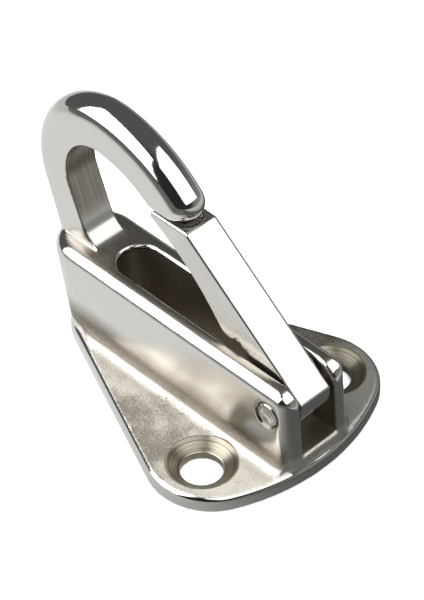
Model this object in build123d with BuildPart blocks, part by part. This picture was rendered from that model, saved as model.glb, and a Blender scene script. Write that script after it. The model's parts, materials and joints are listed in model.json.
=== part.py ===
"""Deck hook: a cast eye plate with a spring gate that closes the hook's mouth.

Everything is in millimetres. +Z is up from the deck, +X runs from the hook's stem towards the
gate's hinge, and Y runs across the plate from one screw hole to the other. The origin lies on
the deck, midway between the two screw holes.
"""
from build123d import *
from math import acos, atan2, cos, degrees, hypot, radians, sin, sqrt, tan
import os

os.makedirs("parts", exist_ok=True)

# ---- base plate -------------------------------------------------------------------------
plate_thick = 2.5
ear_radius = 9.6
ear_x = -0.75
ear_y = 9.9
tail_radius = 7.45
tail_x = -29.4
plate_front_x = 11.15
rim_round = 0.9
under_round = 0.3

# ---- deck screws ------------------------------------------------------------------------
screw_spacing = 25.4
screw_hole_dia = 6.0
countersink_dia = 10.0
countersink_angle = 110

# ---- slotted body -----------------------------------------------------------------------
body_top = 15.4
body_base = 1.6
body_half_top = 6.1
body_half_foot = 6.5
body_front_top = 9.5
body_front_foot = 10.55
body_back_top = -40.3
body_back_foot = -37.0
front_corner_round = 2.4
front_top_round = 3.2
top_edge_round = 1.9
cove_radius = 2.4
blank_margin = 20
touch = 0.01

# ---- slot that the gate folds into ------------------------------------------------------
slot_half = 3.35
slot_floor = 4.2
slot_end_x = -28.3
slot_edge_break = 0.3

# ---- hook -------------------------------------------------------------------------------
hook_half = 2.9
hook_thick = 6.8
hook_back_round = 2.85
bend_x = -29.9
bend_z = 27.2
bend_radius = 6.9
bend_end_angle = 85
arch_radius = 17.2
nose_angle = 45
nose_sole_z = 29.83
nose_sole_round = 0.9
stem_lean = 21.5
stem_foot_z = 6.0
stem_back_foot_x = -37.4
stem_root_round = 5.0

# ---- hinge pin --------------------------------------------------------------------------
hinge_x = 5.95
hinge_z = 10.95
pin_dia = 3.6
pin_half_length = 6.1
pin_dish_radius = 1.2
pin_dish_depth = 0.3
pin_edge_break = 0.15
bore_mouth = 0.3
running_clearance = 0.06

# ---- gate -------------------------------------------------------------------------------
gate_half = 2.9
gate_face_angle = 38.3
gate_front_x = 9.25
gate_front_z = 12.6
gate_top_z = 29.8
gate_tip_x = -19.8
gate_tip_round = 0.4
gate_tip_drop = 1.0
gate_belly = (-12.6, 23.9)
gate_tail_radius = 3.3
gate_edge_break = 0.2
lobe_start = (-6.3, 17.0)
lobe_low = (-4.6, 16.0)
lobe_end = (-3.0, 17.1)
eye_turn = 212
scoop_depth = 0.9
scoop_half = 2.5
scoop_front_x = -12.9

# ---- torsion spring ---------------------------------------------------------------------
wire_dia = 0.7
coil_radius = 2.3
coil_pitch = 0.74
coil_full_turns = 2
wire_end_round = 0.2
spring_pocket_half = 1.95
spring_pocket_radius = 2.8
pocket_end_x = -7.1
pocket_end_z = 16.25
upper_leg_end = (-5.0, 15.3)
lower_leg_end = (-7.0, 4.62)


def polar(centre, radius, angle):
    """Point at the given angle, in degrees, on a circle."""
    turn = radians(angle)
    return (centre[0] + radius * cos(turn), centre[1] + radius * sin(turn))


def xz_direction(angle):
    """Direction in the XZ plane at the given angle, in degrees, above +X."""
    return (cos(radians(angle)), 0, sin(radians(angle)))


def tangent_turn(centre, radius, point, side):
    """Angle at which a line from the point touches the circle, on the side asked for."""
    reach = hypot(point[0] - centre[0], point[1] - centre[1])
    bearing = degrees(atan2(point[1] - centre[1], point[0] - centre[0])) % 360
    return bearing + side * degrees(acos(radius / reach))


def leg_length(centre, radius, point):
    """Length of the line from the point to where it touches the circle."""
    return sqrt((point[0] - centre[0]) ** 2 + (point[1] - centre[1]) ** 2 - radius**2)


# ---- outline of the base plate, from its tail, two ears and bowed front ------------------
ear_reach = plate_front_x - ear_x
front_radius = (ear_y**2 + ear_reach**2 - ear_radius**2) / (2 * (ear_reach - ear_radius))
front_centre = (plate_front_x - front_radius, 0)
tail_centre = (tail_x, 0)
ear_centre = (ear_x, ear_y)
front_turn = degrees(atan2(ear_y, ear_x - front_centre[0]))
flank_turn = degrees(
    atan2(ear_y, ear_x - tail_x)
    + acos((tail_radius - ear_radius) / hypot(ear_x - tail_x, ear_y))
)

with BuildSketch() as plate_outline:
    with BuildLine():
        CenterArc(front_centre, front_radius, 0, front_turn)
        CenterArc(ear_centre, ear_radius, front_turn, flank_turn - front_turn)
        Line(polar(ear_centre, ear_radius, flank_turn), polar(tail_centre, tail_radius, flank_turn))
        CenterArc(tail_centre, tail_radius, flank_turn, 180 - flank_turn)
        mirror(about=Plane.XZ)
    make_face()


def body_plan(level):
    """Plan of the slotted body at one height: straight flanks and a round back."""
    share = (level - body_base) / (body_top - body_base)
    half = body_half_foot + (body_half_top - body_half_foot) * share
    front = body_front_foot + (body_front_top - body_front_foot) * share
    back = body_back_foot + (body_back_top - body_back_foot) * share
    with BuildSketch(Plane.XY.offset(level)) as plan:
        with BuildLine():
            Polyline((back + half, half), (front, half), (front, -half), (back + half, -half))
            CenterArc((back + half, 0), half, 90, 180)
        make_face()
    return plan.sketch


# ---- slotted body, with a cove where its flanks rise from a plate of any size ------------
with BuildPart() as body_block:
    add(body_plan(body_base))
    add(body_plan(body_top))
    loft(ruled=True)
    front_face = body_block.faces().sort_by(Axis.X)[-1]
    fillet(front_face.edges().filter_by(Axis.Y, reverse=True), front_corner_round)
    fillet(body_block.edges().group_by(Axis.Z)[-1], top_edge_round)
    # seen from the side, the front of the cheeks is rounded over
    front_draft = (body_front_foot - body_front_top) / (body_top - body_base)
    round_x = body_front_top + front_top_round * front_draft - front_top_round
    round_z = body_top - front_top_round
    with BuildSketch(Plane.XZ):
        with Locations((round_x, round_z)):
            Rectangle(2 * front_top_round, 2 * front_top_round, align=(Align.MIN, Align.MIN))
            Circle(front_top_round, mode=Mode.SUBTRACT)
    extrude(amount=2 * body_half_foot, both=True, mode=Mode.SUBTRACT)

with BuildPart() as coved_body:
    add(body_block.part)
    with BuildSketch():
        with Locations(((body_back_top + body_front_foot) / 2, 0)):
            Rectangle(
                body_front_foot - body_back_top + 2 * blank_margin,
                2 * (body_half_foot + blank_margin),
            )
    extrude(amount=plate_thick)
    foot = coved_body.edges().filter_by(
        lambda edge: abs(edge.center().Z - plate_thick) < touch
        and abs(edge.center().Y) < body_half_foot + 1
        and body_back_top < edge.center().X < body_front_foot + 1
    )
    fillet(foot, cove_radius)

# ---- everything the casting may fill: the round-rimmed plate, and all above its middle ----
with BuildPart() as casting_limits:
    add(plate_outline.sketch)
    extrude(amount=plate_thick)
    fillet(casting_limits.edges().group_by(Axis.Z)[-1], rim_round)
    fillet(casting_limits.edges().group_by(Axis.Z)[0], under_round)
    with BuildSketch(Plane.XY.offset(under_round)):
        offset(plate_outline.sketch, -rim_round)
    extrude(amount=body_top)
    add(body_block.part)


# ---- hook: a bar, flat inside and round outside, bent from stem to nose ------------------
bend = (bend_x, bend_z)
arch = (
    bend_x - (arch_radius - bend_radius) * cos(radians(bend_end_angle)),
    bend_z - (arch_radius - bend_radius) * sin(radians(bend_end_angle)),
)
stem_angle = 180 + stem_lean
stem_top = polar(bend, bend_radius, stem_angle)
stem_foot = (stem_top[0] + (stem_top[1] - stem_foot_z) * tan(radians(stem_lean)), stem_foot_z)
back_foot = (stem_back_foot_x, stem_foot_z)
back_radius = bend_radius + hook_thick
back_reach = hypot(bend_x - back_foot[0], bend_z - back_foot[1])
back_angle = (
    360
    + degrees(atan2(back_foot[1] - bend_z, back_foot[0] - bend_x))
    - degrees(acos(back_radius / back_reach))
)
nose = polar(arch, arch_radius, nose_angle)
nose_plane = Plane(
    origin=(nose[0], 0, nose[1]),
    x_dir=(sin(radians(nose_angle)), 0, -cos(radians(nose_angle))),
    z_dir=(0, -1, 0),
)

with BuildPart() as hook_bar:
    with BuildSketch(Plane.XZ):
        with BuildLine():
            Line(stem_foot, stem_top)
            CenterArc(bend, bend_radius, stem_angle, bend_end_angle - stem_angle)
            CenterArc(arch, arch_radius, bend_end_angle, nose_angle - bend_end_angle)
            Line(nose, polar(arch, arch_radius + hook_thick, nose_angle))
            CenterArc(arch, arch_radius + hook_thick, nose_angle, bend_end_angle - nose_angle)
            CenterArc(bend, back_radius, bend_end_angle, back_angle - bend_end_angle)
            Line(polar(bend, back_radius, back_angle), back_foot)
            Line(back_foot, stem_foot)
        make_face()
    extrude(amount=hook_half, both=True)
    sides = hook_bar.edges().filter_by(lambda edge: abs(edge.center().Y) > hook_half - touch)
    outer_arcs = sides.filter_by(GeomType.CIRCLE).filter_by(
        lambda edge: edge.radius > bend_radius + 1 and abs(edge.radius - arch_radius) > 1
    )
    back_lines = sides.filter_by(GeomType.LINE).group_by(Axis.X)[0]
    fillet(outer_arcs + back_lines, hook_back_round)

with BuildPart() as nose_cap:
    with BuildSketch(nose_plane):
        with BuildLine():
            Polyline(
                (0, hook_thick),
                (0, 0),
                (hook_half, 0),
                (hook_half, hook_thick - hook_back_round),
            )
            RadiusArc(
                (hook_half, hook_thick - hook_back_round),
                (hook_half - hook_back_round, hook_thick),
                -hook_back_round,
            )
            Line((hook_half - hook_back_round, hook_thick), (0, hook_thick))
        make_face()
    revolve(axis=Axis(nose_plane.origin, nose_plane.y_dir))

with BuildPart() as hook_arm:
    add(hook_bar.part)
    add(nose_cap.part)
    # the nose is cut level underneath, where the gate closes on it
    with BuildSketch(Plane.XY.offset(nose_sole_z)):
        with Locations((nose[0], 0)):
            Rectangle(3 * hook_thick, 3 * hook_half)
    extrude(amount=-hook_thick, mode=Mode.SUBTRACT)
    sole = hook_arm.edges().filter_by_position(Axis.Z, nose_sole_z - touch, nose_sole_z + touch)
    fillet(sole, nose_sole_round)

# ---- the casting ------------------------------------------------------------------------
with BuildPart() as hook_body:
    add(coved_body.part)
    add(casting_limits.part, mode=Mode.INTERSECT)
    add(hook_arm.part)
    root = hook_body.edges().filter_by(Axis.Y).filter_by(
        lambda edge: abs(edge.center().Z - body_top) < touch and edge.center().X < slot_end_x
    )
    fillet(root, stem_root_round)
    with BuildSketch(Plane.XY.offset(slot_floor)):
        with Locations((slot_end_x + slot_half, 0)):
            Circle(slot_half)
            Rectangle(
                plate_front_x - slot_end_x, 2 * slot_half, align=(Align.MIN, Align.CENTER)
            )
    extrude(amount=body_top - slot_floor + 1, mode=Mode.SUBTRACT)
    rim = hook_body.edges().filter_by(
        lambda edge: abs(edge.center().Z - body_top) < touch
        and abs(edge.center().Y) < slot_half + touch
        and edge.center().X > slot_end_x - touch
    )
    sill = hook_body.edges().filter_by(Axis.Y).filter_by(
        lambda edge: abs(edge.center().Z - slot_floor) < touch and edge.center().X > gate_front_x
    )
    chamfer(rim + sill, slot_edge_break)
    with Locations(
        (0, screw_spacing / 2, plate_thick),
        (0, -screw_spacing / 2, plate_thick),
    ):
        CounterSinkHole(screw_hole_dia / 2, countersink_dia / 2, counter_sink_angle=countersink_angle)
    with Locations(Plane(origin=(hinge_x, 0, hinge_z), z_dir=(0, 1, 0))):
        Hole(pin_dia / 2)
    # the bore opens out a little where the pin's ends are peened
    with Locations(
        Plane(origin=(hinge_x, body_half_top, hinge_z), z_dir=(0, 1, 0)),
        Plane(origin=(hinge_x, -body_half_top, hinge_z), z_dir=(0, -1, 0)),
    ):
        Cone(pin_dia / 2, pin_dia / 2 + 2 * bore_mouth, 2 * bore_mouth, mode=Mode.SUBTRACT)
hook_body.part.label = "hook_body"
export_step(hook_body.part, "parts/hook_body.step")


# ---- hinge pin, a press fit in the cheeks, just below their faces and dished at each end ---
with BuildPart() as pivot_pin:
    with BuildSketch(Plane(origin=(hinge_x, 0, hinge_z), x_dir=(1, 0, 0), z_dir=(0, 1, 0))):
        Circle(pin_dia / 2)
    extrude(amount=pin_half_length, both=True)
    chamfer(pivot_pin.edges(), pin_edge_break)
    dish_radius = (pin_dish_radius**2 + pin_dish_depth**2) / (2 * pin_dish_depth)
    dish_centre = pin_half_length + dish_radius - pin_dish_depth
    with Locations((hinge_x, dish_centre, hinge_z), (hinge_x, -dish_centre, hinge_z)):
        Sphere(dish_radius, mode=Mode.SUBTRACT)
pivot_pin.part.label = "pivot_pin"
export_step(pivot_pin.part, "parts/pivot_pin.step")

# ---- gate: a solid bar with a heel lobe, a scooped top and an eye round the pin -------------
hinge = (hinge_x, hinge_z)
gate_slope = tan(radians(gate_face_angle))
upper_turn = tangent_turn(hinge, coil_radius, upper_leg_end, -1)
lower_turn = tangent_turn(hinge, coil_radius, lower_leg_end, 1) - 360
gate_top_front = (gate_front_x - (gate_top_z - gate_front_z) / gate_slope, gate_top_z)
gate_tip = (gate_tip_x, gate_top_z - gate_tip_drop)
with BuildPart() as spring_gate:
    with BuildSketch(Plane.XZ):
        with BuildLine():
            Polyline(
                gate_tip,
                (gate_tip_x + gate_tip_round, gate_top_z),
                gate_top_front,
                (gate_front_x, gate_front_z),
                (gate_front_x, hinge_z),
            )
            CenterArc(hinge, gate_tail_radius, 0, eye_turn - 360)
            Line(polar(hinge, gate_tail_radius, eye_turn), lobe_end)
            ThreePointArc(lobe_end, lobe_low, lobe_start)
            ThreePointArc(lobe_start, gate_belly, gate_tip)
        make_face()
    extrude(amount=gate_half, both=True)
    # the long edges of the outer face, and those of the flat top, are broken
    side_lines = spring_gate.edges().filter_by(GeomType.LINE).filter_by(
        lambda edge: abs(edge.center().Y) > gate_half - touch
    )
    top_lines = side_lines.filter_by_position(Axis.Z, gate_top_z - touch, gate_top_z + touch)
    chamfer(side_lines.sort_by(Edge.length)[-2:] + top_lines, gate_edge_break)
    with Locations(Plane(origin=(hinge_x, 0, hinge_z), z_dir=(0, 1, 0))):
        Hole(pin_dia / 2 + running_clearance)

    # the trough that the nose sits in, from the inner tip to a round front end
    scoop_radius = (scoop_half**2 + scoop_depth**2) / (2 * scoop_depth)
    scoop_z = gate_top_z - scoop_depth + scoop_radius
    scoop_end_x = scoop_front_x - scoop_half
    with BuildSketch(Plane.YZ.offset(scoop_end_x)):
        with Locations((0, scoop_z)):
            Circle(scoop_radius)
    extrude(amount=gate_tip_x - scoop_end_x - scoop_half, mode=Mode.SUBTRACT)
    with Locations((scoop_end_x, 0, scoop_z)):
        Sphere(scoop_radius, mode=Mode.SUBTRACT)

    # the pocket that holds the spring: room for the coil, and for the leg under its ceiling
    with BuildSketch(Plane.XZ):
        with Locations(hinge):
            Circle(spring_pocket_radius)
        with BuildLine():
            Polyline(
                hinge,
                polar(hinge, spring_pocket_radius, upper_turn),
                (pocket_end_x, pocket_end_z),
                (pocket_end_x, slot_floor),
                (hinge_x, hinge_z - spring_pocket_radius),
                hinge,
            )
        make_face()
    extrude(amount=spring_pocket_half, both=True, mode=Mode.SUBTRACT)
spring_gate.part.label = "spring_gate"
export_step(spring_gate.part, "parts/spring_gate.step")

# ---- torsion spring: a coil round the pin, one leg under the gate, one on the slot's floor --
upper_leg_length = leg_length(hinge, coil_radius, upper_leg_end)
lower_leg_length = leg_length(hinge, coil_radius, lower_leg_end)
coil_height = coil_pitch * (coil_full_turns + (upper_turn - lower_turn) / 360)
coil_plane = Plane(
    origin=(hinge_x, -coil_height / 2, hinge_z), x_dir=xz_direction(upper_turn), z_dir=(0, 1, 0)
)
coil = coil_plane * Helix(coil_pitch, coil_height, coil_radius)
with BuildPart() as torsion_spring:
    with BuildLine() as wire_path:
        Line(coil @ 0 - (coil % 0) * upper_leg_length, coil @ 0)
        add(coil)
        Line(coil @ 1, coil @ 1 + (coil % 1) * lower_leg_length)
    with BuildSketch(Plane(origin=wire_path.wire() @ 0, z_dir=wire_path.wire() % 0)):
        Circle(wire_dia / 2)
    sweep(path=wire_path.wire())
    # the wire's cut ends are rounded
    fillet(torsion_spring.faces().filter_by(GeomType.PLANE).edges(), wire_end_round)
torsion_spring.part.label = "torsion_spring"
export_step(torsion_spring.part, "parts/torsion_spring.step")
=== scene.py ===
"""Deck hook with a sprung gate: its finishes, its torsion spring and the studio that it stands in.

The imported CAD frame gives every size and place. Each operator below dresses one piece, and one
operator sets the stage. Lengths in the settings are in metres, and the frame's +Z is up.
"""

import json
import math

import bmesh
import bpy
import numpy as np
from mathutils import Matrix, Vector


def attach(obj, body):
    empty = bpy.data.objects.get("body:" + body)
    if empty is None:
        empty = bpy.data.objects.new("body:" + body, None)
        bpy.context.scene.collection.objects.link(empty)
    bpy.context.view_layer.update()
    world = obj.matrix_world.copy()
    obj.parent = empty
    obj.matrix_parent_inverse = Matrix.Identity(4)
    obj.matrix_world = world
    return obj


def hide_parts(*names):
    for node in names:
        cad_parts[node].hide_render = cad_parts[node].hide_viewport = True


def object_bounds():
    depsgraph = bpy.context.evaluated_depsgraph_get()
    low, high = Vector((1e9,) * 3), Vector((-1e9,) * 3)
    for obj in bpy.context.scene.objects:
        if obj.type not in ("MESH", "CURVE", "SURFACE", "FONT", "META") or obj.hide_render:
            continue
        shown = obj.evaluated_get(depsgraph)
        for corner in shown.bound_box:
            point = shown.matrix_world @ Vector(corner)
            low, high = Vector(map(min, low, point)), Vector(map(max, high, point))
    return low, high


bl_info = {
    "name": "Deck hook",
    "version": (1, 0, 0),
    "blender": (4, 5, 0),
    "location": "3D View > Sidebar > Deck hook",
    "description": "Dresses a stainless deck hook with a sprung gate and sets its studio stage",
    "category": "Object",
}

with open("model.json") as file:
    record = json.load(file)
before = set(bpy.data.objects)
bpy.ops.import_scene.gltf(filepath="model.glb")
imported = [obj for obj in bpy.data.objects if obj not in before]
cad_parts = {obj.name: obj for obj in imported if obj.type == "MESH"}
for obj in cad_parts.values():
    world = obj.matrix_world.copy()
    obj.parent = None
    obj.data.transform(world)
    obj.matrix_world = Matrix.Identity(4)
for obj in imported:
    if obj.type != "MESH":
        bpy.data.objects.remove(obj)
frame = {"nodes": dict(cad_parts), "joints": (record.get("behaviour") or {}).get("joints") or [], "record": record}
CAD_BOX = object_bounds()

MM = 0.001
HINGE = Vector(frame["joints"][0]["pos_m"])
SCREWS = next(m for m in frame["record"]["mounts"] if m["name"] == "deck_screws")
SCREW_Y = SCREWS["dims"]["spacing_y_mm"] * MM / 2

# Regions of the casting's skin. Each pair says where a region begins and where it is full. It is
# in millimetres from the frame's origin, a REACH pair is a distance from an axis, and a TILT pair
# is a component of the unit normal.
HOOK_Z = (16.6, 18.0)
HOOK_SIDE_TILT = (0.93, 0.985)
THROAT_X, THROAT_Z = -29.9, 27.2
THROAT_TILT = (0.5, 0.8)
THROAT_SIDE_TILT = (0.7, 0.4)
TOP_Z = (14.9, 15.2)
TOP_TILT = (0.9, 0.97)
TOP_BELT = 0.8
SHOULDER_Z = (12.5, 13.5)
SHOULDER_SIDE_TILT = (0.93, 0.83)
SLOT_Y = (3.6, 3.3)
SLOT_TOP_Z = (15.0, 14.6)
SLOT_FLOOR_Z = (3.9, 4.3)
SLOT_BACK_X = (-34.0, -33.0)
SLOT_FRONT_X = (10.4, 9.9)
COUNTERSINK_REACH = (5.05, 4.95)
RIM_Z = (2.6, 2.3)
RIM_TILT = (0.96, 0.86)
EAR_Z = (5.4, 3.8)
STAIN_REACH = (9.5, 1.5)
STAIN_X, STAIN_Y, STAIN_STRETCH = -10.0, 15.5, 1.5

# Brown painted shade: in the cove along the foot of the flanks, where it also paints the warm ears'
# reflection on the lower flanks, in a patch on each side of the hook's heel where it meets the
# body, round the pin and at the lip of each countersink.
FOOT_LOW_Z = (2.9, 3.5)
FOOT_HIGH_Z = (9.0, 3.5)
FOOT_Y = (9.2, 8.4)
HEEL_LOW_Z = (15.8, 16.4)
HEEL_HIGH_Z = (18.8, 17.6)
HEEL_INNER_Y = (2.4, 2.8)
HEEL_OUTER_Y = (4.6, 3.6)
HEEL_FRONT_X = (-29.5, -31.0)
HEEL_BACK_X = (-34.5, -33.0)
HEEL_SHARE = 0.9
PIN_REACH = (2.3, 2.15)
PIN_Y = (5.4, 5.6)
LIP_INNER_REACH = (4.75, 4.95)
LIP_OUTER_REACH = (5.25, 5.05)
LIP_Z = (2.0, 2.2)
SHADE_FRONT_X = (10.0, 9.0)

# The patch at the root of the stem, between the belt marks and the body's top, which no wheel
# reaches.
ROOT_LOW_Z = (15.0, 15.5)
ROOT_HIGH_Z = (21.4, 16.9)
ROOT_TILT = (0.15, 0.4)
ROOT_Y = (2.9, 2.5)
ROOT_X = (-26.0, -27.0)

# Regions of the gate's skin, in the same way.
SCOOP_Z = (27.6, 28.6)
SCOOP_TILT = (0.8, 0.95)
GATE_SIDE_TILT = (0.8, 0.95)

# Smoothing passes over each skin, and a distance from the hinge's axis just outside the coil.
CASTING_PASSES = 4
GATE_PASSES = 32
COIL_REACH = 2.75 * MM

# The camera's sensor in millimetres, and for each card its half width and how far it lies below
# the deck, in metres.
SENSOR_WIDTH = 36
FLOOR_HALF, FLOOR_DROP = 0.8, 0.02 * MM
GLOW_HALF, GLOW_DROP = 1.5, 0.03 * MM

# The middle of a noise, where most of its values lie.
FINE_LOW, FINE_HIGH = 0.36, 0.64
CLOUD_LOW, CLOUD_HIGH = 0.3, 0.7

# Name, azimuth and elevation in degrees, distance, width and height in metres, radiance in watts
# per square metre and steradian, and whether the steel mirrors it.
SOFTBOXES = (
    ("side_softbox", -121, 35, 0.6, 0.66, 0.70, 3.2, True),
    ("top_softbox", 10, 53, 0.7, 1.12, 0.62, 1.65, True),
    ("fill_softbox", 60, 75, 0.8, 1.2, 1.2, 3.2, False),
)


def srgb(text):
    """Linear colour of an sRGB hex value such as "#C9C5BF", with alpha 1."""
    parts = [int(text[i : i + 2], 16) / 255 for i in (1, 3, 5)]
    linear = [p / 12.92 if p <= 0.04045 else ((p + 0.055) / 1.055) ** 2.4 for p in parts]
    return (*linear, 1.0)


# ---- settings ----------------------------------------------------------------------------
class SteelSettings(bpy.types.PropertyGroup):
    """Colours and finishes of the stainless pieces."""

    buffed: bpy.props.FloatVectorProperty(
        name="Buffed steel", description="Mirror-buffed 316 stainless",
        default=srgb("#D7D5D0"), size=4, subtype="COLOR", min=0, max=1)
    cast: bpy.props.FloatVectorProperty(
        name="Cast steel", description="Blasted and tumbled casting skin, a little warmer",
        default=srgb("#F1EDE4"), size=4, subtype="COLOR", min=0, max=1)
    # Colour of the unpolished skin deep in the slot, darkened further as painted shade.
    raw_and_shade: bpy.props.FloatVectorProperty(
        name="Raw steel and painted shade", description="Unpolished skin deep in the slot, darkened as painted shade",
        default=srgb("#A59E92"), size=4, subtype="COLOR", min=0, max=1)
    wire: bpy.props.FloatVectorProperty(
        name="Spring wire", description="Drawn stainless spring wire",
        default=srgb("#B3AFA8"), size=4, subtype="COLOR", min=0, max=1)
    stain: bpy.props.FloatVectorProperty(
        name="Stained steel", description="Darker patches on the casting skin",
        default=srgb("#A39B90"), size=4, subtype="COLOR", min=0, max=1)
    # Brown colour painted as shade in the casting's crevices and corners, and as a reflection of the ears on the
    # lower flanks.
    painted_shade: bpy.props.FloatVectorProperty(
        name="Painted crevice shade", description="Brown painted shade in the crevices and corners",
        default=srgb("#6B6153"), size=4, subtype="COLOR", min=0, max=1)
    grain: bpy.props.FloatProperty(
        name="Casting grain", description="Width of one grain of the casting skin",
        default=0.28 * MM, min=0.05 * MM, max=2 * MM, unit="LENGTH", precision=5)
    voxel: bpy.props.FloatProperty(
        name="Skin voxel", description="Size of the cells that the casting's skin is made of",
        default=0.2 * MM, min=0.1 * MM, max=1 * MM, unit="LENGTH", precision=5)
    gate_voxel: bpy.props.FloatProperty(
        name="Gate voxel", description="Size of the cells that the gate's skin is made of",
        default=0.12 * MM, min=0.08 * MM, max=1 * MM, unit="LENGTH", precision=5)


class StageSettings(bpy.types.PropertyGroup):
    """Camera, floor and lights."""

    target: bpy.props.FloatVectorProperty(
        name="Aim", description="Point that the camera looks at",
        default=(-13.245 * MM, 2.493 * MM, 14.0 * MM), subtype="TRANSLATION", unit="LENGTH")
    azimuth: bpy.props.FloatProperty(
        name="Azimuth", description="Where the camera stands, counted from +X towards +Y",
        default=math.radians(-44.07), subtype="ANGLE")
    elevation: bpy.props.FloatProperty(
        name="Elevation", description="How high the camera stands above the horizon",
        default=math.radians(42.64), subtype="ANGLE")
    roll: bpy.props.FloatProperty(
        name="Roll", description="How far the camera leans", default=math.radians(-0.73),
        subtype="ANGLE")
    distance: bpy.props.FloatProperty(
        name="Distance", description="From the aim to the camera", default=382.3 * MM, min=0.05,
        unit="LENGTH")
    lens: bpy.props.FloatProperty(
        name="Lens", description="Focal length on a 36 mm sensor", default=165.0, min=10,
        unit="CAMERA")
    floor: bpy.props.FloatVectorProperty(
        name="Floor", description="Matt white card", default=srgb("#F3F2EF"), size=4,
        subtype="COLOR", min=0, max=1)


# ---- small tools -------------------------------------------------------------------------
def add(tree, kind, inputs=None, **settings):
    """Adds one node with its settings; inputs are values, or sockets to link from."""
    made = tree.nodes.new(kind)
    for name, value in settings.items():
        setattr(made, name, value)
    for socket, value in (inputs or {}).items():
        if isinstance(value, bpy.types.NodeSocket):
            tree.links.new(value, made.inputs[socket])
        else:
            made.inputs[socket].default_value = value
    return made


def new_material(name):
    """An empty node material, and its tree."""
    material = bpy.data.materials.new(name)
    material.use_nodes = True
    material.node_tree.nodes.clear()
    return material, material.node_tree


def show(obj, material, body):
    """Links a finished piece to the scene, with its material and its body."""
    bpy.context.scene.collection.objects.link(obj)
    obj.data.materials.clear()
    obj.data.materials.append(material)
    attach(obj, body)
    return obj


def compass(azimuth, rise=0):
    """A level unit vector, counted in degrees from +X towards +Y, with a rise added to it."""
    return math.cos(math.radians(azimuth)), math.sin(math.radians(azimuth)), rise


def window(value, none, full):
    """0 up to none, 1 from full on and a smooth step between them; full may be the lower one."""
    share = np.clip((value - none) / (full - none), 0, 1)
    return share * share * (3 - 2 * share)


def write_mask(mesh, name, values):
    """Stores one number per vertex for a material to read."""
    layer = mesh.attributes.new(name, "FLOAT", "POINT")
    layer.data.foreach_set("value", values.astype(np.float32))


def grow_skin(context, node, name, voxel, passes):
    """A copy of a CAD node's mesh, grown again from even cells and softened at its edges."""
    blank = bpy.data.objects.new("blank", frame["nodes"][node].data.copy())
    context.scene.collection.objects.link(blank)
    remesh = blank.modifiers.new("skin", "REMESH")
    remesh.mode = "VOXEL"
    remesh.voxel_size = voxel
    soften = blank.modifiers.new("tumble", "SMOOTH")
    soften.factor = 0.5
    soften.iterations = passes
    shapes = context.evaluated_depsgraph_get()
    mesh = bpy.data.meshes.new_from_object(blank.evaluated_get(shapes))
    bpy.data.objects.remove(blank)
    if not mesh.polygons:
        raise RuntimeError(f"the skin of {node} came out empty")
    mesh.name = name
    mesh.shade_smooth()
    return mesh


def read_points(mesh):
    """Vertex positions in millimetres and unit normals, as arrays."""
    place = np.zeros(len(mesh.vertices) * 3)
    mesh.vertices.foreach_get("co", place)
    normal = np.zeros(len(mesh.vertices) * 3)
    mesh.vertex_normals.foreach_get("vector", normal)
    return place.reshape(-1, 3) / MM, normal.reshape(-1, 3)


# ---- materials ---------------------------------------------------------------------------
def belt_marks(tree, place, length, width):
    """Noise drawn out in X and Z and fine in Y, as a grinding belt leaves it."""
    drawn = add(tree, "ShaderNodeVectorMath", {
        0: place, 1: (1 / length, 1 / width, 1 / length)}, operation="MULTIPLY")
    return add(tree, "ShaderNodeTexNoise", {
        "Vector": drawn.outputs["Vector"], "Scale": 1.0, "Detail": 3.0,
        "Roughness": 0.65}).outputs["Fac"]


def turning_rings(tree, place):
    """Noise that changes only with the distance from a screw hole's axis."""
    split = add(tree, "ShaderNodeSeparateXYZ", {0: place})
    side = add(tree, "ShaderNodeMath", {0: split.outputs["Y"]}, operation="ABSOLUTE")
    side = add(tree, "ShaderNodeMath", {
        0: side.outputs["Value"], 1: SCREW_Y}, operation="SUBTRACT")
    flat = add(tree, "ShaderNodeCombineXYZ", {
        "X": split.outputs["X"], "Y": side.outputs["Value"]})
    reach = add(tree, "ShaderNodeVectorMath", {0: flat.outputs["Vector"]}, operation="LENGTH")
    turn = add(tree, "ShaderNodeMath", {
        0: reach.outputs["Value"], 1: 1 / (0.2 * MM)}, operation="MULTIPLY")
    return add(tree, "ShaderNodeTexNoise", {
        "W": turn.outputs["Value"], "Scale": 1.0, "Detail": 2.0},
        noise_dimensions="1D").outputs["Fac"]


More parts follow.
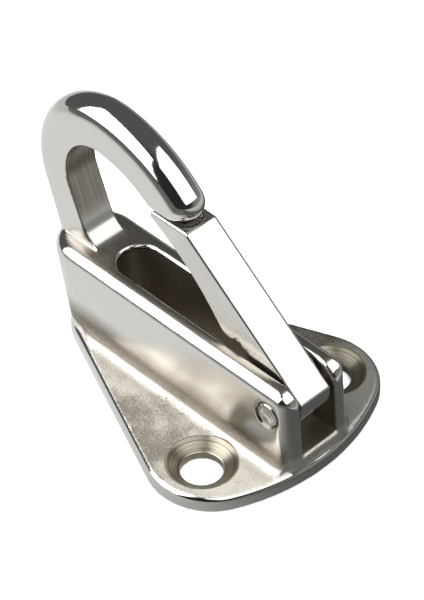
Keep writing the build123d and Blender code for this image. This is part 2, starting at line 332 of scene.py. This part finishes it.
def cast_stainless(steel):
    """316 stainless, investment cast, blasted, then buffed where a hand can reach.

    Buffed skin mirrors the studio and flat sides keep a satin haze. The ears keep a fine, pale,
    mottled grain. Brown painted shade lies in the crevices along the foot of the flanks, with a
    painted reflection of the ears on the lower flanks, belt marks run up the throat, the countersinks
    show dull turning rings, and the raw skin deep in the slot is darkened as painted shade.
    """
    material, tree = new_material("cast_stainless_steel_buffed")
    place = add(tree, "ShaderNodeTexCoord").outputs["Object"]
    mask = {
        name: add(tree, "ShaderNodeAttribute", attribute_name=name).outputs["Fac"]
        for name in ("mirror", "cast", "stain", "belt", "painted_shade", "turned", "raw_and_shade")}

    grain = add(tree, "ShaderNodeTexNoise", {
        "Vector": place, "Scale": 1 / steel.grain, "Detail": 3.0, "Roughness": 0.65})
    cloud = add(tree, "ShaderNodeTexNoise", {
        "Vector": place, "Scale": 1 / (4 * MM), "Detail": 4.0, "Roughness": 0.6})
    marks = belt_marks(tree, place, 9 * MM, 0.35 * MM)
    rings = turning_rings(tree, place)

    # pale and dark patches on the blasted ears, broken up by the grain and darker where stained
    speck = add(tree, "ShaderNodeMath", {
        0: cloud.outputs["Fac"], 1: grain.outputs["Fac"]}, operation="ADD")
    patch = add(tree, "ShaderNodeMath", {
        0: mask["stain"], 1: -0.36, 2: speck.outputs["Value"]}, operation="MULTIPLY_ADD")
    mottle = add(tree, "ShaderNodeMapRange", {
        "Value": patch.outputs["Value"], "From Min": 0.56, "From Max": 1.02},
        interpolation_type="SMOOTHSTEP")
    blasted = add(tree, "ShaderNodeMix", {
        "Factor": mottle.outputs["Result"], "A": tuple(steel.stain), "B": tuple(steel.cast)},
        data_type="RGBA")
    # light and dark belt marks over a brownish ground
    streak = add(tree, "ShaderNodeMapRange", {
        "Value": marks, "From Min": FINE_LOW, "From Max": FINE_HIGH})
    belted = add(tree, "ShaderNodeMix", {
        "Factor": streak.outputs["Result"], "A": srgb("#9C958A"), "B": srgb("#BAB3A8")},
        data_type="RGBA")
    # darker and paler turning rings
    ringed = add(tree, "ShaderNodeMapRange", {
        "Value": rings, "From Min": FINE_LOW, "From Max": FINE_HIGH})
    turned = add(tree, "ShaderNodeMix", {
        "Factor": ringed.outputs["Result"], "A": srgb("#7C7566"), "B": srgb("#B8B1A0")},
        data_type="RGBA")
    # the painted shade's edge is ragged
    ragged = add(tree, "ShaderNodeMath", {0: speck.outputs["Value"], 1: -1.0}, operation="ADD")
    ragged = add(tree, "ShaderNodeMath", {
        0: ragged.outputs["Value"], 1: 0.35, 2: mask["painted_shade"]}, operation="MULTIPLY_ADD")
    ragged = add(tree, "ShaderNodeMapRange", {
        "Value": ragged.outputs["Value"], "From Min": 0.10, "From Max": 0.85,
        "To Max": 0.85})

    colour = tuple(steel.buffed)
    for share, layer in (
        (mask["cast"], blasted.outputs["Result"]),
        (mask["belt"], belted.outputs["Result"]),
        # brown painted shade in the crevices and corners, and a painted reflection of the ears on the lower flanks
        (ragged.outputs["Result"], tuple(steel.painted_shade)),
        (mask["turned"], turned.outputs["Result"]),
        # raw skin deep in the slot, darkened as painted shade
        (mask["raw_and_shade"], tuple(steel.raw_and_shade)),
    ):
        colour = add(tree, "ShaderNodeMix", {
            "Factor": share, "A": colour, "B": layer}, data_type="RGBA").outputs["Result"]

    satin = add(tree, "ShaderNodeMapRange", {
        "Value": cloud.outputs["Fac"], "From Min": CLOUD_LOW, "From Max": CLOUD_HIGH,
        "To Min": 0.21, "To Max": 0.24})
    rough = satin.outputs["Result"]
    for share, value in (
        (mask["cast"], 0.38), (mask["belt"], 0.36), (mask["turned"], 0.30),
        (mask["raw_and_shade"], 0.40), (mask["mirror"], 0.07),
    ):
        rough = add(tree, "ShaderNodeMix", {
            "Factor": share, "A": rough, "B": value}).outputs["Result"]

    # grain stands proud on the ears, marks and rings are only scratches
    height = add(tree, "ShaderNodeMath", {
        0: grain.outputs["Fac"], 1: mask["cast"]}, operation="MULTIPLY").outputs["Value"]
    for share, layer in ((mask["belt"], marks), (mask["turned"], rings)):
        scratch = add(tree, "ShaderNodeMath", {0: layer, 1: share}, operation="MULTIPLY")
        height = add(tree, "ShaderNodeMath", {
            0: scratch.outputs["Value"], 1: 0.4, 2: height},
            operation="MULTIPLY_ADD").outputs["Value"]
    bump = add(tree, "ShaderNodeBump", {
        "Height": height, "Strength": 0.9, "Distance": 0.14 * MM})
    shader = add(tree, "ShaderNodeBsdfPrincipled", {
        "Base Color": colour, "Metallic": 1.0, "Roughness": rough,
        "Normal": bump.outputs["Normal"]})
    add(tree, "ShaderNodeOutputMaterial", {"Surface": shader.outputs["BSDF"]})
    return material


def ground_stainless(steel):
    """Stainless bar, ground flat and buffed: bright faces with faint lines along the bar."""
    material, tree = new_material("ground_stainless_steel_bar")
    place = add(tree, "ShaderNodeTexCoord").outputs["Object"]
    mirror = add(tree, "ShaderNodeAttribute", attribute_name="mirror").outputs["Fac"]
    cloud = add(tree, "ShaderNodeTexNoise", {
        "Vector": place, "Scale": 1 / (2.5 * MM), "Detail": 3.0, "Roughness": 0.6})
    marks = belt_marks(tree, place, 6 * MM, 0.3 * MM)
    streak = add(tree, "ShaderNodeMapRange", {
        "Value": marks, "From Min": FINE_LOW, "From Max": FINE_HIGH})
    tone = add(tree, "ShaderNodeMix", {
        "Factor": streak.outputs["Result"], "A": srgb("#CFCCC6"), "B": tuple(steel.buffed)},
        data_type="RGBA")
    satin = add(tree, "ShaderNodeMapRange", {
        "Value": cloud.outputs["Fac"], "From Min": CLOUD_LOW, "From Max": CLOUD_HIGH,
        "To Min": 0.20, "To Max": 0.28})
    rough = add(tree, "ShaderNodeMix", {
        "Factor": mirror, "A": satin.outputs["Result"], "B": 0.11})
    bump = add(tree, "ShaderNodeBump", {
        "Height": marks, "Strength": 0.25, "Distance": 0.02 * MM})
    shader = add(tree, "ShaderNodeBsdfPrincipled", {
        "Base Color": tone.outputs["Result"], "Metallic": 1.0,
        "Roughness": rough.outputs["Result"], "Normal": bump.outputs["Normal"]})
    add(tree, "ShaderNodeOutputMaterial", {"Surface": shader.outputs["BSDF"]})
    return material


def turned_stainless(steel):
    """Pin stock, turned and pressed in: a bright dished end."""
    material, tree = new_material("turned_stainless_steel_pin")
    place = add(tree, "ShaderNodeTexCoord").outputs["Object"]
    cloud = add(tree, "ShaderNodeTexNoise", {
        "Vector": place, "Scale": 1 / (1 * MM), "Detail": 2.0, "Roughness": 0.5})
    rough = add(tree, "ShaderNodeMapRange", {
        "Value": cloud.outputs["Fac"], "From Min": CLOUD_LOW, "From Max": CLOUD_HIGH,
        "To Min": 0.14, "To Max": 0.24})
    shader = add(tree, "ShaderNodeBsdfPrincipled", {
        "Base Color": tuple(steel.buffed), "Metallic": 1.0,
        "Roughness": rough.outputs["Result"]})
    add(tree, "ShaderNodeOutputMaterial", {"Surface": shader.outputs["BSDF"]})
    return material


def drawn_wire(steel):
    """302 stainless spring wire, cold drawn: a grey sheen with a faint drawing haze."""
    material, tree = new_material("drawn_stainless_spring_wire")
    place = add(tree, "ShaderNodeTexCoord").outputs["Object"]
    cloud = add(tree, "ShaderNodeTexNoise", {
        "Vector": place, "Scale": 1 / (0.5 * MM), "Detail": 2.0, "Roughness": 0.5})
    rough = add(tree, "ShaderNodeMapRange", {
        "Value": cloud.outputs["Fac"], "From Min": CLOUD_LOW, "From Max": CLOUD_HIGH,
        "To Min": 0.24, "To Max": 0.36})
    shader = add(tree, "ShaderNodeBsdfPrincipled", {
        "Base Color": tuple(steel.wire), "Metallic": 1.0,
        "Roughness": rough.outputs["Result"]})
    add(tree, "ShaderNodeOutputMaterial", {"Surface": shader.outputs["BSDF"]})
    return material


def matt_card(colour):
    """Matt white background card: no shine, only soft shadows."""
    material, tree = new_material("matt_white_card")
    place = add(tree, "ShaderNodeTexCoord").outputs["Object"]
    fibre = add(tree, "ShaderNodeTexNoise", {
        "Vector": place, "Scale": 1 / (0.8 * MM), "Detail": 3.0, "Roughness": 0.5})
    tone = add(tree, "ShaderNodeMix", {
        "Factor": fibre.outputs["Fac"], "A": colour, "B": srgb("#F7F6F4")}, data_type="RGBA")
    shader = add(tree, "ShaderNodeBsdfPrincipled", {
        "Base Color": tone.outputs["Result"], "Roughness": 0.9, "Specular IOR Level": 0.1})
    add(tree, "ShaderNodeOutputMaterial", {"Surface": shader.outputs["BSDF"]})
    return material


def glow_card():
    """White card under the hook that glows though it is no lamp, only for the steel's mirror: a painted pool of
    light from one side.

    Its glow is painted light and shade: bright towards the side softbox, less so far out, painted
    shade on the camera's side and a pale painted glow far behind the hook.
    """
    toward_softbox, toward_dusk = -136, -70
    least_glow = 0.12
    material, tree = new_material("painted_glow_card")
    place = add(tree, "ShaderNodeTexCoord").outputs["Object"]
    # the glow below paints light and shade on the card; no lamp lights it
    toward = add(tree, "ShaderNodeVectorMath", {
        0: place, 1: compass(toward_softbox)}, operation="DOT_PRODUCT").outputs["Value"]
    reach = add(tree, "ShaderNodeVectorMath", {0: place}, operation="LENGTH").outputs["Value"]
    near = add(tree, "ShaderNodeMapRange", {
        "Value": toward, "From Min": -10 * MM, "From Max": 32 * MM},
        interpolation_type="SMOOTHSTEP")
    fade = add(tree, "ShaderNodeMapRange", {
        "Value": reach, "From Min": 100 * MM, "From Max": 220 * MM,
        "To Min": 0.80, "To Max": 0.55}, interpolation_type="SMOOTHSTEP")
    far = add(tree, "ShaderNodeMapRange", {
        "Value": toward, "From Min": -30 * MM, "From Max": -80 * MM,
        "To Min": 0.0, "To Max": 0.5}, interpolation_type="SMOOTHSTEP")
    beyond = add(tree, "ShaderNodeMath", {
        0: far.outputs["Result"], 1: least_glow}, operation="ADD")
    aside = add(tree, "ShaderNodeVectorMath", {
        0: place, 1: compass(toward_dusk)}, operation="DOT_PRODUCT").outputs["Value"]
    dusk = add(tree, "ShaderNodeMapRange", {
        "Value": aside, "From Min": 24 * MM, "From Max": 50 * MM, "To Min": 1.0, "To Max": 0.08},
        interpolation_type="SMOOTHSTEP")
    near = add(tree, "ShaderNodeMath", {
        0: near.outputs["Result"], 1: dusk.outputs["Result"]}, operation="MULTIPLY")
    glow = add(tree, "ShaderNodeMath", {
        0: near.outputs["Value"], 1: fade.outputs["Result"], 2: beyond.outputs["Value"]},
        operation="MULTIPLY_ADD")
    shader = add(tree, "ShaderNodeEmission", {"Strength": glow.outputs["Value"]})
    add(tree, "ShaderNodeOutputMaterial", {"Surface": shader.outputs["Emission"]})
    return material


def dim_room():
    """The room behind the softboxes: dark beside the camera, paler low down across from it.

    The camera itself sees it white, as it sees the floor.
    """
    beside_camera, opposite, downward = -55, 45, -0.5
    world = bpy.data.worlds.new("dim_room")
    world.use_nodes = True
    tree = world.node_tree
    tree.nodes.clear()
    way = add(tree, "ShaderNodeTexCoord").outputs["Generated"]
    seen = add(tree, "ShaderNodeLightPath").outputs["Is Camera Ray"]
    behind = add(tree, "ShaderNodeVectorMath", {
        0: way, 1: compass(beside_camera)}, operation="DOT_PRODUCT")
    room = add(tree, "ShaderNodeMapRange", {
        "Value": behind.outputs["Value"], "From Min": 0.1, "From Max": 0.7,
        "To Min": 0.14, "To Max": 0.035}, interpolation_type="SMOOTHSTEP")
    across = add(tree, "ShaderNodeVectorMath", {
        0: way, 1: compass(opposite, downward)}, operation="DOT_PRODUCT")
    low = add(tree, "ShaderNodeMapRange", {
        "Value": across.outputs["Value"], "From Min": 0.4, "From Max": 1.0,
        "To Min": 0.0, "To Max": 0.26}, interpolation_type="SMOOTHSTEP")
    total = add(tree, "ShaderNodeMath", {
        0: room.outputs["Result"], 1: low.outputs["Result"]}, operation="ADD")
    tone = add(tree, "ShaderNodeMix", {
        "Factor": seen, "A": total.outputs["Value"], "B": 1.0})
    glow = add(tree, "ShaderNodeBackground", {"Strength": tone.outputs["Result"]})
    add(tree, "ShaderNodeOutputWorld", {"Surface": glow.outputs["Background"]})
    return world


# ---- pieces ------------------------------------------------------------------------------
class DECKHOOK_OT_stage(bpy.types.Operator):
    """Sets the camera, the pale floor and the soft studio lights."""

    bl_idname = "deckhook.stage"
    bl_label = "Set the stage"

    def execute(self, context):
        """Makes everything that isn't part of the hook."""
        stage = context.scene.deckhook_stage
        self.camera(context, stage)
        self.floor(context, stage)
        self.lights(context)
        return {"FINISHED"}

    def camera(self, context, stage):
        """A long lens, looking down on the hook from its gate end."""
        flat = math.cos(stage.elevation)
        back = Vector((
            math.cos(stage.azimuth) * flat, math.sin(stage.azimuth) * flat,
            math.sin(stage.elevation)))
        level = Vector((-math.sin(stage.azimuth), math.cos(stage.azimuth), 0))
        upright = back.cross(level)
        across = math.cos(stage.roll) * level + math.sin(stage.roll) * upright
        upward = math.cos(stage.roll) * upright - math.sin(stage.roll) * level
        data = bpy.data.cameras.new("studio_camera")
        data.lens = stage.lens
        data.sensor_width = SENSOR_WIDTH
        data.clip_start = 10 * MM
        camera = bpy.data.objects.new("studio_camera", data)
        turn = Matrix((across, upward, back)).transposed()
        camera.matrix_world = (
            Matrix.Translation(Vector(stage.target) + back * stage.distance) @ turn.to_4x4())
        context.scene.collection.objects.link(camera)
        context.scene.camera = camera

    def floor(self, context, stage):
        """A wide matt card for the eye, and the glowing card of painted light and shade that the polished steel
        mirrors.
        """
        floor = self.card(context, "floor_card", FLOOR_HALF, FLOOR_DROP)
        floor.data.materials.append(matt_card(tuple(stage.floor)))
        floor.visible_glossy = False
        # a glowing card, no lamp: painted light and shade that only the steel's reflections see
        glow_sheet = self.card(context, "glow_card", GLOW_HALF, GLOW_DROP)
        glow_sheet.data.materials.append(glow_card())
        glow_sheet.visible_camera = False
        glow_sheet.visible_diffuse = False
        glow_sheet.visible_shadow = False

    def card(self, context, name, half, drop):
        """A flat square card of a half width, a hair below the deck so that it meets no face."""
        corners = [(-half, -half), (half, -half), (half, half), (-half, half)]
        mesh = bpy.data.meshes.new(name)
        mesh.from_pydata([(x, y, -drop) for x, y in corners], [], [(0, 1, 2, 3)])
        card = bpy.data.objects.new(name, mesh)
        context.scene.collection.objects.link(card)
        return card

    def lights(self, context):
        """Softboxes round the hook, and a dim room behind them."""
        aim = (CAD_BOX[0] + CAD_BOX[1]) / 2
        for name, azimuth, elevation, distance, width, height, radiance, mirrored in SOFTBOXES:
            data = bpy.data.lights.new(name, "AREA")
            data.shape = "RECTANGLE"
            data.size = width
            data.size_y = height
            data.energy = radiance * math.pi * width * height
            lamp = bpy.data.objects.new(name, data)
            a, e = math.radians(azimuth), math.radians(elevation)
            away = Vector((math.cos(a) * math.cos(e), math.sin(a) * math.cos(e), math.sin(e)))
            lamp.location = aim + away * distance
            lamp.rotation_euler = away.to_track_quat("Z", "Y").to_euler()
            lamp.visible_glossy = mirrored
            context.scene.collection.objects.link(lamp)
        context.scene.world = dim_room()
        context.scene.view_settings.view_transform = "Standard"


class DECKHOOK_OT_casting(bpy.types.Operator):
    """Grows a soft cast skin over the hook body and finishes each region of it."""

    bl_idname = "deckhook.casting"
    bl_label = "Finish the casting"

    def execute(self, context):
        """Remeshes a copy of the casting, softens it and marks its finishes."""
        steel = context.scene.deckhook_steel
        mesh = grow_skin(context, "hook_body", "cast_hook_body", steel.voxel, CASTING_PASSES)
        self.finishes(mesh)
        piece = bpy.data.objects.new("cast_hook_body", mesh)
        show(piece, cast_stainless(steel), "base")
        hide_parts("hook_body")
        return {"FINISHED"}

    def finishes(self, mesh):
        """Marks what is buffed, as cast, belted, turned, stained, painted with brown shade, or raw and darkened as
        painted shade.
        """
        place, normal = read_points(mesh)
        x, y, z = place.T
        nx, ny, nz = normal.T
        aside, sideways = np.abs(y), np.abs(ny)
        from_screw = np.hypot(x, aside - SCREW_Y / MM)
        from_pin = np.hypot(x - HINGE.x / MM, z - HINGE.z / MM)

        # regions
        hook = window(z, *HOOK_Z)
        away_x, away_z = x - THROAT_X, z - THROAT_Z
        outward = (nx * away_x + nz * away_z) / np.hypot(away_x, away_z)
        inner = window(-outward, *THROAT_TILT) * window(sideways, *THROAT_SIDE_TILT)
        back = hook * (1 - window(sideways, *HOOK_SIDE_TILT)) * (1 - inner)
        top = window(nz, *TOP_TILT) * window(z, *TOP_Z) * (1 - hook)
        shoulder = (
            window(z, *SHOULDER_Z) * (1 - hook) * (1 - top)
            * window(sideways, *SHOULDER_SIDE_TILT))
        slot = (
            window(aside, *SLOT_Y) * window(z, *SLOT_TOP_Z) * window(z, *SLOT_FLOOR_Z)
            * window(x, *SLOT_FRONT_X) * window(x, *SLOT_BACK_X))
        outside = 1 - slot
        turned = window(from_screw, *COUNTERSINK_REACH)
        rim = window(z, *RIM_Z) * window(np.abs(nz), *RIM_TILT)
        root = (
            window(z, *ROOT_LOW_Z) * window(z, *ROOT_HIGH_Z) * window(nx, *ROOT_TILT)
            * window(aside, *ROOT_Y) * window(x, *ROOT_X))

        # painted shade: brown in the crevices and corners, and along the foot a painted reflection of the ears
        foot = window(z, *FOOT_LOW_Z) * window(z, *FOOT_HIGH_Z) * window(aside, *FOOT_Y)
        heel = (
            window(z, *HEEL_LOW_Z) * window(z, *HEEL_HIGH_Z) * window(aside, *HEEL_INNER_Y)
            * window(aside, *HEEL_OUTER_Y) * window(x, *HEEL_FRONT_X) * window(x, *HEEL_BACK_X))
        mouth = window(from_pin, *PIN_REACH) * window(aside, *PIN_Y)
        lip = (
            window(from_screw, *LIP_INNER_REACH) * window(from_screw, *LIP_OUTER_REACH)
            * window(z, *LIP_Z))
        crease_shade = np.maximum(foot, HEEL_SHARE * heel) * (1 - turned)
        painted_shade = np.maximum(crease_shade, np.maximum(mouth, lip)) * window(x, *SHADE_FRONT_X)

        cast = window(z, *EAR_Z) * (1 - rim) * (1 - turned) * outside
        stain = window(
            np.hypot((x - STAIN_X) / STAIN_STRETCH, aside - STAIN_Y), *STAIN_REACH)
        buffed = np.clip(back + rim * (1 - turned) + shoulder, 0, 1) * outside * (1 - root)
        belted = np.clip(inner * hook * (1 - root) + TOP_BELT * top, 0, 1) * outside
        for name, values in (
            ("cast", cast), ("mirror", buffed), ("belt", belted), ("painted_shade", painted_shade * outside),
            ("stain", stain * cast), ("turned", turned), ("raw_and_shade", slot),
        ):
            write_mask(mesh, name, values)


class DECKHOOK_OT_gate(bpy.types.Operator):
    """Finishes the gate as a ground and buffed bar."""

    bl_idname = "deckhook.gate"
    bl_label = "Finish the gate"

    def execute(self, context):
        """Gives the gate's faces their finish."""
        steel = context.scene.deckhook_steel
        mesh = grow_skin(context, "spring_gate", "ground_gate", steel.gate_voxel, GATE_PASSES)
        piece = bpy.data.objects.new("ground_gate", mesh)
        place, normal = read_points(mesh)
        scoop = window(place[:, 2], *SCOOP_Z) * window(normal[:, 2], *SCOOP_TILT)
        side = window(np.abs(normal[:, 1]), *GATE_SIDE_TILT)
        write_mask(mesh, "mirror", (1 - side) * (1 - scoop))
        show(piece, ground_stainless(steel), "gate")
        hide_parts("spring_gate")
        return {"FINISHED"}


class DECKHOOK_OT_pin(bpy.types.Operator):
    """Finishes the pressed-in hinge pin."""

    bl_idname = "deckhook.pin"
    bl_label = "Finish the pin"

    def execute(self, context):
        """Gives the pin its material."""
        node = frame["nodes"]["pivot_pin"]
        node.material_slots[0].material = turned_stainless(context.scene.deckhook_steel)
        return {"FINISHED"}


class DECKHOOK_OT_spring(bpy.types.Operator):
    """Finishes the torsion spring."""

    bl_idname = "deckhook.spring"
    bl_label = "Wind the spring"

    def execute(self, context):
        """Parts the coil from the leg that the gate carries, and gives both their material."""
        wire = drawn_wire(context.scene.deckhook_steel)
        for name, body, carried in (("spring_coil", "base", False), ("spring_leg", "gate", True)):
            mesh = frame["nodes"]["torsion_spring"].data.copy()
            mesh.name = name
            shape = bmesh.new()
            shape.from_mesh(mesh)
            lost = [f for f in shape.faces if self.on_gate_leg(f.calc_center_median()) != carried]
            bmesh.ops.delete(shape, geom=lost, context="FACES")
            rims = [edge for edge in shape.edges if edge.is_boundary]
            bmesh.ops.holes_fill(shape, edges=rims)
            shape.to_mesh(mesh)
            shape.free()
            if not mesh.polygons:
                raise RuntimeError(f"{name} came out empty")
            piece = bpy.data.objects.new(name, mesh)
            show(piece, wire, body)
            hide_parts("torsion_spring")
        return {"FINISHED"}

    def on_gate_leg(self, point):
        """Whether a point of the wire is on the upper leg, clear of the coil."""
        away = Vector((point.x - HINGE.x, 0, point.z - HINGE.z))
        return away.length > COIL_REACH and point.z > HINGE.z


class DECKHOOK_PT_panel(bpy.types.Panel):
    """Lists the hook's settings and steps."""

    bl_idname = "DECKHOOK_PT_panel"
    bl_label = "Deck hook"
    bl_space_type = "VIEW_3D"
    bl_region_type = "UI"
    bl_category = "Deck hook"

    def draw(self, context):
        """Draws the settings, then one button for each step."""
        for group in (context.scene.deckhook_steel, context.scene.deckhook_stage):
            box = self.layout.box()
            for name in group.bl_rna.properties.keys():
                if name not in ("rna_type", "name"):
                    box.prop(group, name)
        for operator in STEPS:
            self.layout.operator(operator.bl_idname)


STEPS = (
    DECKHOOK_OT_stage,
    DECKHOOK_OT_casting,
    DECKHOOK_OT_gate,
    DECKHOOK_OT_pin,
    DECKHOOK_OT_spring,
)
CLASSES = (SteelSettings, StageSettings, *STEPS, DECKHOOK_PT_panel)


def register():
    """Registers the settings, the operators and the panel."""
    for kind in CLASSES:
        bpy.utils.register_class(kind)
    bpy.types.Scene.deckhook_steel = bpy.props.PointerProperty(type=SteelSettings)
    bpy.types.Scene.deckhook_stage = bpy.props.PointerProperty(type=StageSettings)


def unregister():
    """Takes away what register() added."""
    del bpy.types.Scene.deckhook_stage
    del bpy.types.Scene.deckhook_steel
    for kind in reversed(CLASSES):
        bpy.utils.unregister_class(kind)


def main():
    register()
    bpy.ops.deckhook.stage()
    bpy.ops.deckhook.casting()
    bpy.ops.deckhook.gate()
    bpy.ops.deckhook.pin()
    bpy.ops.deckhook.spring()


if __name__ == "__main__":
    main()
